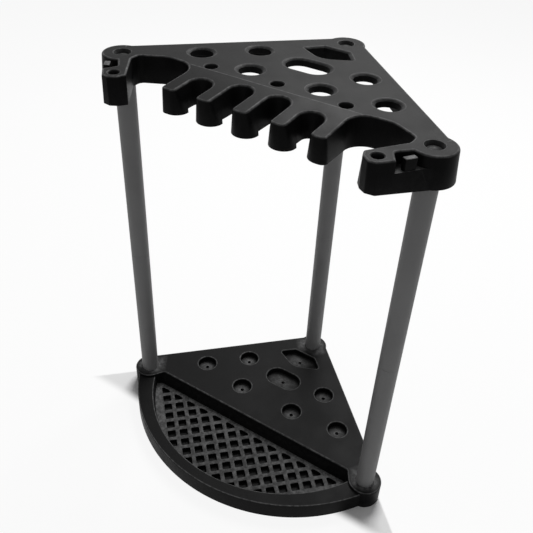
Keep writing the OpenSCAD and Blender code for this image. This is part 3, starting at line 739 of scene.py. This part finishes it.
# Base
baseSizes = dict(
    bossR=37.0, wallOut=33.0, blends=(6.0, 6.0), cornerIn=45.0, cornerR=8.0, skin=3.0, edge=2.5, lip=0.8,
    margin=0.5, deckY=3.0, deckRun=12.0, cupR=26.0, cupWide=3.0, cupDeep=15.0, cupWall=2.5, longR=30.5,
    drainR=4.0, drainY=0.784 * halfSpan, socketR=20.2, socketFloor=3.0, trayFront=207.0,
    trayHalf=halfSpan + 29.0, rimFront=181.0, rimHalf=halfSpan - 22.0, rimTop=43.0, rimEdge=2.4,
    rimDraft=0.16, rimFoot=0.6, rimEnds=(4.0, 2.0), rimSteps=160, gridTop=18.5, gridDeep=10.0, pitch=28.5,
    bar=9.5, phase=0.42, margins=3.0, strip=10.0, ribPitch=66.0, ribT=2.0, ribLow=4.0, ribEnd=2.0)
pentaCup = dict(
    places=((0.193, 0.772), (0.09, 0.868), (-0.09, 0.868), (-0.193, 0.772), (0, 0.676)), grown=1.07,
    radii=(9, 9, 9, 9, 42))


# Radius and centre of the arc through a front point and a point on the pole line
def throughArc(front, half):
    radius = (front * front + half * half) / (2 * front)
    return radius, radius - front


# Deck outline as arcs: the front line, which turns at a small corner and runs straight to
# the boss's side, three bosses and the two wall edges between them
def deckRuns(frontY):
    s, pole = baseSizes, poles["right"]
    bossR, wall, inward = s["bossR"], s["wallOut"], s["cornerIn"]
    boss = bossRuns(pole, bossR, s["blends"], np.array([1.0, 0.0]), -frontY, wallDir, wall)[1:]
    end = angleOf(boss[0]["spokes"][-1])
    toCorner, lean = math.atan2(frontY, -inward), math.acos(bossR / math.hypot(inward, frontY))
    touch = math.degrees(toCorner + lean) % 360
    meet = turned((bossR, 0), touch) + pole
    right = [cornerRun((0, frontY), (halfSpan - inward, frontY), meet, s["cornerR"]),
             arcRun(pole, bossR, 1, touch, end % 360 + 360 - touch, arcSteps["boss"])] + boss[1:]
    rear = bossRuns(poles["rear"], bossR, s["blends"], wallDir, wall, backDir, wall)
    return right + rear + mirrored(right)


# Deck outline at a height: its front runs forwards evenly down to the waffle's level
def deckLoop(inset, z):
    s = baseSizes
    share = min(1.0, (deckZ - z) / (deckZ - s["gridTop"]))
    return outline(deckRuns(s["deckY"] - s["deckRun"] * share), inset, deckGaps)


deckGaps = gapsOf(deckRuns(baseSizes["deckY"]))


# Cup, as outlines at growing insets and depths: a rounded rim, the wall and a floor with a
# drain, and the same again underneath. Gives the loops in the deck's two faces.
def addCup(shell, runs, drain):
    s = baseSizes
    wide, deep, wall, skin = s["cupWide"], s["cupDeep"], s["cupWall"], s["skin"]
    steps = [(-0.6, 0)] + roundOver(wide, wide, 6)
    steps += [(wide + 0.2, deep - 1.6), (wide + 0.6, deep - 0.6), (wide + 1.6, deep)]
    below = [(wide + 1.6, deep + wall), (wide - wall + 0.6, deep + wall - 0.6),
             (wide - wall, deep + wall - 2), (wide - wall, skin)]
    top, floor = addHole(shell, runs, steps, deckZ)
    under, ceiling = addHole(shell, runs, below, deckZ)
    pipe = [(0, 0), (0.6, 0.2), (0.8, 0.8), (0.8, wall)]
    mouth, end = addHole(shell, circleRuns(drain, s["drainR"] + 0.8, 24), pipe, deckZ - deep)
    addFill(shell, [floor, mouth], deckZ - deep)
    addFill(shell, [under, end], deckZ - deep - wall)
    return top, ceiling


# Socket: a bore with a rounded mouth in a round pillar that stands on the floor
def addSocket(shell, pole):
    s = baseSizes
    bore = [(0, 0), (0.4, 0.15), (0.8, 0.5), (1, 1), (1, deckZ - s["socketFloor"])]
    pillar = [(0, s["skin"]), (0, deckZ - 0.6), (0.6, deckZ)]
    top, floor = addHole(shell, circleRuns(pole, s["socketR"] + 1, 96), bore, deckZ)
    ceiling, foot = addHole(shell, circleRuns(pole, s["socketR"] + s["skin"], 96), pillar, deckZ)
    addFill(shell, [floor], s["socketFloor"])
    addFill(shell, [foot], 0.0)
    return top, ceiling


# Deck shell: rounded top edge, side walls, lower edge and the hollow inside, with
# the cups, their drains and the sockets set into its top
def addDeck(shell):
    s = baseSizes
    skin, edge, lip = s["skin"], s["edge"], s["lip"]
    steps = [(edge + s["margin"], deckZ)]
    steps += [(edge - across, deckZ - down) for across, down in roundOver(edge, edge)]
    steps += [(0, deckZ - edge - s["margin"]), (0, s["gridTop"]), (0, lip), (0.3 * lip, 0.3 * lip),
              (lip, 0), (skin - lip, 0), (skin, lip), (skin, s["gridTop"]), (skin, deckZ - skin)]
    rows = [at(deckLoop(inset, z), z) for inset, z in steps]
    addGrid(shell, rows)
    loops = [(rows[0][:, :2], rows[-1][:, :2])]
    penta = np.array(pentaCup["places"]) * halfSpan
    centre = penta.mean(axis=0)
    penta = centre + (penta - centre) * pentaCup["grown"]
    cups = [(circleRuns(place, s["cupR"]), place) for place in handlePlaces]
    cups += [(longRuns(s["longR"]), longPlace), (polygonRuns(penta, pentaCup["radii"]), (0, s["drainY"]))]
    loops += [addCup(shell, runs, drain) for runs, drain in cups]
    loops += [addSocket(shell, pole) for pole in poles.values()]
    addFill(shell, [top for top, ceiling in loops], deckZ)
    addFill(shell, [ceiling for top, ceiling in loops], deckZ - skin)


# Rim: a hollow profile carried along the front. Each of its points hangs from the outer
# arc (1) or the inner arc (0) by a distance towards the tray, at its own height.
def addRim(shell):
    s = baseSizes
    arcs = zip(throughArc(s["trayFront"], s["trayHalf"]), throughArc(s["rimFront"], s["rimHalf"]))
    top, edge, skin, foot, margin = s["rimTop"], s["rimEdge"], s["skin"], s["rimFoot"], s["margin"]
    low, turn = s["gridTop"] - 4, roundOver(edge, edge)
    outer = [(foot, 0), (0, foot), (0, top - edge - margin)]
    outer += [(edge - across, top - down) for across, down in reversed(turn)] + [(edge + margin, top)]
    inner = [(-edge - margin, top)] + [(across - edge, top - down) for across, down in turn]
    inner += [((top - z) * s["rimDraft"], z) for z in (top - edge - 1.5, s["gridTop"], low)]
    inner += [((top - low) * s["rimDraft"] - skin, low), (-skin, top - skin)]
    under = [(skin, top - skin), (skin, foot), (skin - foot, 0)]
    profile = np.array([(1, *p) for p in outer] + [(0, *p) for p in inner] + [(1, *p) for p in under])
    onOuter, t = profile[:, :1] == 1, np.linspace(0, 1, s["rimSteps"] + 1)
    arcR, arcY, ends = (np.where(onOuter, *pair) for pair in (*arcs, s["rimEnds"]))
    past = np.arcsin((ends - arcY) / arcR)          # how far the ends run past the pole line
    angle = -math.pi - past + (math.pi + 2 * past) * t
    grid = aroundAxis((0, arcY), arcR - profile[:, 1:2], profile[:, 2:], angle)
    addBeam(shell, np.concatenate([grid, grid[:1]]), len(profile))


# Waffle pockets: the room that a centre, a hub and a kept pocket need, and the rays
pocketSizes = dict(
    centreRoom=0.5, hubRoom=5.0, keepRoom=2.0, keepOwn=1.5, rays=(-7, 0, 7, 24, 45, 66), power=13)


# Pockets of the waffle: in every direction a pocket reaches as far as the nearest of
# its own four sides and the tray's borders lets it, joined by a power mean that
# rounds the corners. Each pocket has a hub inside the borders from which it reaches.
def pocketLoops(grow, z):
    s, q = baseSizes, pocketSizes
    innerR, innerY = throughArc(s["rimFront"], s["rimHalf"])
    border = innerR - (s["rimTop"] - s["gridTop"]) * s["rimDraft"] - s["margins"]
    foot = s["deckY"] - s["deckRun"] - s["strip"]
    count = math.ceil(innerR / s["pitch"])
    v, u = (np.indices((2 * count, 2 * count)).reshape(2, -1) - count + s["phase"]) * s["pitch"]
    centres = np.column_stack([u - v, u + v]) / math.sqrt(2)
    middle, posts = np.array([0.0, innerY]), np.array([poles["left"], poles["right"]])

    # Outward directions of the four borders and the room before each
    def borders(points):
        out = points - middle
        reach = np.linalg.norm(out, axis=1)
        away = points[:, None] - posts
        apart = np.linalg.norm(away, axis=2)
        back, towards = np.broadcast_to([0.0, 1.0], points.shape), -away / apart[..., None]
        room = [foot - points[:, 1], border - reach, apart - s["bossR"] - s["margins"]]
        return (np.stack([back, out / reach[:, None], towards[:, 0], towards[:, 1]], axis=1),
                np.column_stack(room))

    centres = centres[(borders(centres)[1] > q["centreRoom"]).all(axis=1)]
    hubs = centres.copy()
    for k in range(4):
        normals, room = borders(hubs)
        hubs -= normals[:, k] * np.maximum(0, q["hubRoom"] - room[:, k:k + 1])
    normals, room = borders(hubs)
    half = (s["pitch"] - s["bar"]) / 2
    quarters = 90 * np.arange(4)
    sides = spokesAt(45 + quarters)
    own = half - (hubs - centres) @ sides.T
    keep = (room > q["keepRoom"]).all(axis=1) & (own > q["keepOwn"]).all(axis=1)
    hubs, room, normals, own = hubs[keep], room[keep], normals[keep], own[keep]
    normals = np.concatenate([np.broadcast_to(sides, (len(hubs), 4, 2)), normals], axis=1)
    room = np.column_stack([own, room]) + grow
    rays = spokesAt((quarters[:, None] + q["rays"]).ravel())
    pull = np.maximum(np.einsum("pkc,rc->prk", normals, rays), 0) / room[:, None, :]
    reach = (pull ** q["power"]).sum(axis=2) ** (-1 / q["power"])
    return np.dstack([hubs[:, None] + reach[..., None] * rays, np.full(reach.shape, z)])


# Waffle floor: a slab with sunk pockets, hollow underneath between the pockets' boxes
def addWaffle(shell):
    s = baseSizes
    innerR, innerY = throughArc(s["rimFront"], s["rimHalf"])
    radius, back = innerR - 2.4, s["deckY"] - s["deckRun"] + 1
    tilt = math.degrees(math.asin((back - innerY) / radius))
    edge = outline([arcRun((0, innerY), radius, 1, -180 - tilt, 180 + 2 * tilt, 90)])
    top, floor, wall = s["gridTop"], s["gridTop"] - s["gridDeep"], s["cupWall"]
    addGrid(shell, [at(edge, top), at(edge, top - wall)])
    pockets, boxes = (np.stack([pocketLoops(grow, z) for grow, z in levels], axis=1) for levels in (
        ((1.0, top), (0.45, top - 0.15), (0.1, top - 0.6), (0, top - 1.2), (-0.5, floor)),
        ((2.0, top - wall), (1.6, floor - wall))))
    for sides in (*pockets, *boxes):
        addGrid(shell, sides)
    for ring in (pockets[:, -1], boxes[:, -1]):
        first = addPoints(shell, ring.reshape(-1, 3))
        count = ring.shape[1]
        shell["faces"] += (first + np.arange(len(ring) * count).reshape(-1, count)).tolist()
    addFill(shell, [edge, *pockets[:, 0, :, :2]], top)
    addFill(shell, [edge, *boxes[:, 0, :, :2]], top - wall)


# Ribs under the deck, square to each other: thin walls whose upper edge dips near a cup
ribClear = dict(round=26.5, long=31.5, pentaHalf=(70, 36), pentaY=0.77 * halfSpan)


def addRibs(shell):
    s, clear = baseSizes, ribClear
    reach = (halfSpan - s["deckY"] - 4) * math.sqrt(2)
    acrossDir = np.array([1.0, -1.0]) / math.sqrt(2)
    count = int((reach - s["ribEnd"]) // s["ribPitch"])
    for i in range(1, count + 1):
        for along, off in ((backDir, acrossDir), (acrossDir, backDir)):
            t = np.arange(s["ribEnd"] - s["wallOut"], reach - i * s["ribPitch"] - 1, 3.0)
            middle = np.array([0, halfSpan]) + i * s["ribPitch"] * off + t[:, None] * along
            near = np.linalg.norm(middle[:, None] - handlePlaces, axis=2).min(axis=1) < clear["round"]
            onLong = np.clip(np.abs(middle[:, 0]) - longHalf, 0, None)
            near |= np.hypot(onLong, middle[:, 1] - longPlace[1]) < clear["long"]
            near |= (np.abs(middle - (0, clear["pentaY"])) < clear["pentaHalf"]).all(axis=1)
            high = deckZ + 0.5 - np.where(near, s["cupDeep"] + s["cupWall"], s["skin"])
            side = off * s["ribT"] / 2
            low = s["ribLow"]
            addBeam(shell, np.array([at(middle + k * side, z) for k, z in (
                (-1, low), (-1, high), (1, high), (1, low), (-1, low))]), 4)


shell = newShell()
for addPart in (addDeck, addRim, addWaffle, addRibs):
    addPart(shell)
makePiece("baseTray", shell, "base_tray", blackPlastic)


# Tubes: a turned shell with rounded ends, a body, a step and a necked upper end
tubeSizes = dict(wall=1.2, fit=0.2, neck=38.0, lead=3.0, end=0.7, chamfer=0.7)


def buildTube(name, pole, node, low, length):
    s, shell = tubeSizes, newShell()
    bore = tubeR - s["wall"]
    neck, end, lead = bore - s["fit"], s["end"], s["lead"]
    neckBore = neck - s["wall"]
    high = low + length
    top = high + s["neck"]
    profile = [(bore, low + 0.4), (bore + 0.3, low), (tubeR - end, low),
               (tubeR - 0.3 * end, low + 0.3 * end), (tubeR, low + end), (tubeR, low + end + 1)]
    profile += [(tubeR, low + share * length) for share in (0.25, 0.5, 0.75)]
    profile += [(tubeR, high - end - 1), (tubeR, high - end), (tubeR - 0.3 * end, high - 0.3 * end),
                (tubeR - end, high), (neck, high), (neck, top - lead), (neck - s["chamfer"], top),
                (neckBore - s["chamfer"], top), (neckBore, top - lead), (neckBore, high - 1.4),
                (bore, high - 2.8)]
    addTurned(shell, pole, profile)
    makePiece(name, shell, node, greyPaint)


for side, pole in poles.items():
    for level in ("Lower", "Upper"):
        node = f"{side}_{level.lower()}_tube"
        low, high = boxOf(node)
        buildTube(side + level + "Tube", pole, node, low[2], high[2] - low[2] - tubeSizes["neck"])


# Caps: a disc on a stem, both turned, with a crown that is part of a ball
capSizes = dict(radius=12.2, crown=3.0, stemR=6.0, stem=12.0, edge=0.8, seat=7.0)


def buildCap(side, pole):
    s, shell = capSizes, newShell()
    base = topZ - s["seat"]
    foot = base - s["stem"]
    ballR = (s["radius"] ** 2 + s["crown"] ** 2) / (2 * s["crown"])
    angles = math.asin(s["radius"] / ballR) * np.linspace(0.96, 0.01, 12)
    crown = np.column_stack([ballR * np.sin(angles), base + s["crown"] - ballR * (1 - np.cos(angles))])
    profile = [(0.02, foot), (s["stemR"] - s["edge"], foot), (s["stemR"], foot + s["edge"]),
               (s["stemR"], base), (s["radius"] - 0.3, base), (s["radius"], base + 0.15), *crown]
    addTurned(shell, pole, profile, 64)
    makePiece(side + "Cap", shell, side + "_cap", capPlastic, 50)


for side, pole in poles.items():
    buildCap(side, pole)


# Clips: a tongue that stands on the pocket's floor, flush with the arm's outer face there
clipSizes = dict(
    thick=10.5, along=-56.5, long=20.5, low=20.9, top=0.8, foot=5.0, footLong=16.0, edge=0.7, back=0.2)


# How far the arm's outer face stands out: a line at the top and one at the lower edge,
# joined evenly
def armFace(along, depth):
    outs = [x + (along - y) * math.tan(math.radians(flare))
            for (x, y), flare in zip((tip[-1][0] for tip in armTips), plateSizes["armFlare"])]
    return outs[0] + (outs[1] - outs[0]) * depth / plateDepth


# The clip's side view is carried across its thickness, with its edges drawn in at both ends
def buildClip(side, name):
    s, shell = clipSizes, newShell()
    across, along = turned((1, 0), -plateSizes["armAngle"]), turned((0, 1), -plateSizes["armAngle"])
    place = armPoint(0, s["along"])
    edge, half, end, foot = s["edge"], s["thick"] / 2, s["long"] / 2, s["footLong"] / 2
    top, low = -s["top"], -s["low"]
    view = np.array([(-end, low), (-end, top - edge), (edge - end, top), (end - edge, top),
                     (end, top - edge), (end, low), (foot, low), (foot, low - s["foot"]),
                     (-foot, low - s["foot"]), (-foot, low)])
    middle = np.array([0.0, (top + low) / 2])
    rows, steps = [], [(half, edge), (half - edge, 0.3 * edge), (half - 2 * edge, 0)]
    for offset, drawn in [(-offset, drawn) for offset, drawn in steps] + steps[::-1]:
        inner = view + np.clip(middle - view, -drawn, drawn)
        face = armFace(s["along"] + inner[:, :1], s["low"]) - s["back"] - half
        flat = place + (face + offset) * across + inner[:, :1] * along
        rows.append(np.column_stack([flat * (side, 1), topZ + inner[:, 1]]))
    addGrid(shell, rows)
    count, last = len(view), (len(rows) - 1) * len(view)
    shell["faces"] += [list(range(count)), list(range(last, last + count))]
    makePiece(name + "Clip", shell, name + "_clip", capPlastic, 30)


for side, name in ((-1, "left"), (1, "right")):
    buildClip(side, name)


# Camera, floor and light
cameraSizes = dict(
    place=(0.5811, poleY * mm - 0.9226, 1.3433), azimuth=-30.985, elevation=37.284, roll=2.842,
    lens=45.98, sensor=36.0, clip=(0.05, 100.0))


# Looks along azimuth and down by elevation, then turned by roll about that line
def buildCamera():
    c = cameraSizes
    data = bpy.data.cameras.new("camera")
    data.lens, data.sensor_width = c["lens"], c["sensor"]
    data.clip_start, data.clip_end = c["clip"]
    turn, tilt, roll = (Matrix.Rotation(math.radians(angle), 4, axis) for angle, axis in
                        ((-c["azimuth"], "Z"), (90 - c["elevation"], "X"), (c["roll"], "Z")))
    camera = newObject("camera", data)
    camera.matrix_world = Matrix.Translation(c["place"]) @ turn @ tilt @ roll
    scene.camera = camera


# 1 where the ray comes from the camera, a reflection or a see-through part
def seenRay(tree):
    path = newNode(tree, "LightPath").outputs
    either = mathNode("MAXIMUM", path["Is Camera Ray"], path["Is Glossy Ray"])
    return mathNode("MAXIMUM", either, path["Is Transmission Ray"])


stageSizes = dict(
    ambient=0.22, half=9.0, glow=0.90, colour=(0.92, 0.92, 0.92), rough=0.9, glowWalls=(42, 50),
    glowFront=(-90, -60))


# White surroundings, and a pale floor that keeps the shadow: paint mixed with a white
# glow, which ends under the base so that its drains show a dark inside
def buildStage():
    s = stageSizes
    world = scene.world = scene.world or bpy.data.worlds.new("studio")
    world.use_nodes = True
    tree = world.node_tree
    strength = mathNode("MAXIMUM", seenRay(tree), s["ambient"])
    plug(tree.nodes["Background"], {"Color": (1, 1, 1), "Strength": strength})
    mesh = bpy.data.meshes.new("floor")
    corners = [(x * s["half"], y * s["half"], 0) for x, y in ((-1, -1), (1, -1), (1, 1), (-1, 1))]
    mesh.from_pydata(corners, [], [(0, 1, 2, 3)])
    material, tree = newMaterial("paleFloor")
    paint = tree.nodes["Principled BSDF"]
    plug(paint, {"Base Color": s["colour"], "Roughness": s["rough"], "Specular IOR Level": 0.0})
    glow = newNode(tree, "Emission", {"Strength": 1.0})
    place = newNode(tree, "TexCoord").outputs["Object"]
    x, y = newNode(tree, "SeparateXYZ", {0: place}).outputs[:2]
    fromMiddle = mathNode("ADD", mathNode("ABSOLUTE", x), y)
    behind = rangeNode(fromMiddle, *((halfSpan + poleY + out) * mm for out in s["glowWalls"]))
    ahead = rangeNode(y, *((poleY + out) * mm for out in s["glowFront"]), 1.0, 0.0)
    share = product(mathNode("MAXIMUM", behind, ahead), product(seenRay(tree), s["glow"]))
    mix = newNode(tree, "MixShader", {0: share, 1: paint.outputs[0], 2: glow.outputs[0]})
    plug(tree.nodes["Material Output"], {"Surface": mix.outputs[0]})
    mesh.materials.append(material)
    newObject("floor", mesh)


lamps = dict(
    softbox=dict(place=(-0.5, 1.85, 2.75), aim=(0.0, 0.0, 0.6), size=(1.45, 1.3), power=84.0),
    front=dict(place=(1.3, -2.4, 1.9), aim=(0.0, 0.0, 0.4), size=(2.2, 2.2), power=4.0))


# Two soft lamps, each turned to look at its aim
def buildLamps():
    for name, lamp in lamps.items():
        data = bpy.data.lights.new(name, "AREA")
        data.shape = "RECTANGLE"
        data.size, data.size_y = lamp["size"]
        data.energy = lamp["power"]
        lampObject = newObject(name, data)
        lampObject.location = lamp["place"]
        away = Vector(lamp["place"]) - Vector(lamp["aim"])
        lampObject.rotation_euler = away.to_track_quat("Z", "Y").to_euler()


buildCamera()
buildStage()
buildLamps()
scene.view_settings.view_transform = "Standard"
print("camera, floor and lamps placed")
